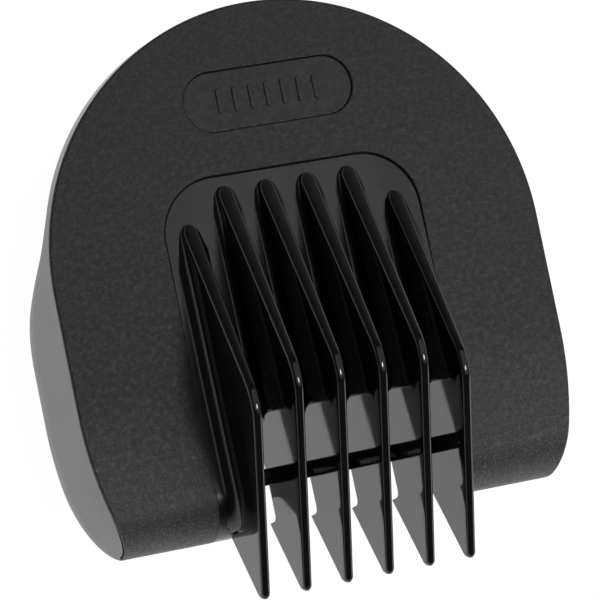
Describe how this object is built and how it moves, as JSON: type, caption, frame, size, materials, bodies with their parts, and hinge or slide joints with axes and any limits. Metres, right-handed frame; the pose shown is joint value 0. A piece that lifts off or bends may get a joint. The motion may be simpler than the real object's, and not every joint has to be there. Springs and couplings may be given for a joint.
{
  "type": "hair clipper guide comb",
  "caption": "D-shaped clip-on guide comb for a hair clipper: hood with side cheeks, a row of raised guard teeth over open slots, and sprung side arms.",
  "frame": {"origin": "middle of the plan outline, in the plane of the cheeks' rims on which the comb lies", "axes": "+X to the right seen on the face, +Y from the tooth tips to the top of the arch, +Z out of the face"},
  "size_m": [0.0468, 0.053, 0.0208],
  "materials": {
    "hood": "black moulded plastic with a fine spark-eroded grain",
    "skirt": "black moulded plastic, smooth satin",
    "pad": "black moulded plastic, smooth semi-matt",
    "teeth": "black moulded plastic, polished",
    "inside": "black moulded plastic, unpolished tool finish"
  },
  "bodies": {
    "hood": {"face_plate": "hood", "left_lip": "hood", "right_lip": "hood", "arch_rim": "skirt", "left_cheek": "skirt", "right_cheek": "skirt", "comb_pad": "pad", "label_plate": "hood", "tooth_1": "teeth", "tooth_2": "teeth", "tooth_3": "teeth", "tooth_4": "teeth", "tooth_5": "teeth", "tooth_6": "teeth", "cross_bar": "teeth", "left_guard": "teeth", "right_guard": "teeth", "left_seat_rib": "inside", "right_seat_rib": "inside", "left_stop": "inside", "right_stop": "inside", "heel_hook": "inside", "left_arm_seat": "inside", "right_arm_seat": "inside"},
    "left_arm": {"left_snap_arm": "inside"},
    "right_arm": {"right_snap_arm": "inside"}
  },
  "joints": [
    {"name": "left_arm_flex", "type": "hinge", "parent": "hood", "child": "left_arm", "pos_m": [-0.02005, -0.0069, 0.0086], "axis": [0, 1, 0], "range_deg": [0, 6], "stiffness_Nm_per_rad": 0.3},
    {"name": "right_arm_flex", "type": "hinge", "parent": "hood", "child": "right_arm", "pos_m": [0.02005, -0.0069, 0.0086], "axis": [0, -1, 0], "range_deg": [0, 6], "stiffness_Nm_per_rad": 0.3}
  ]
}
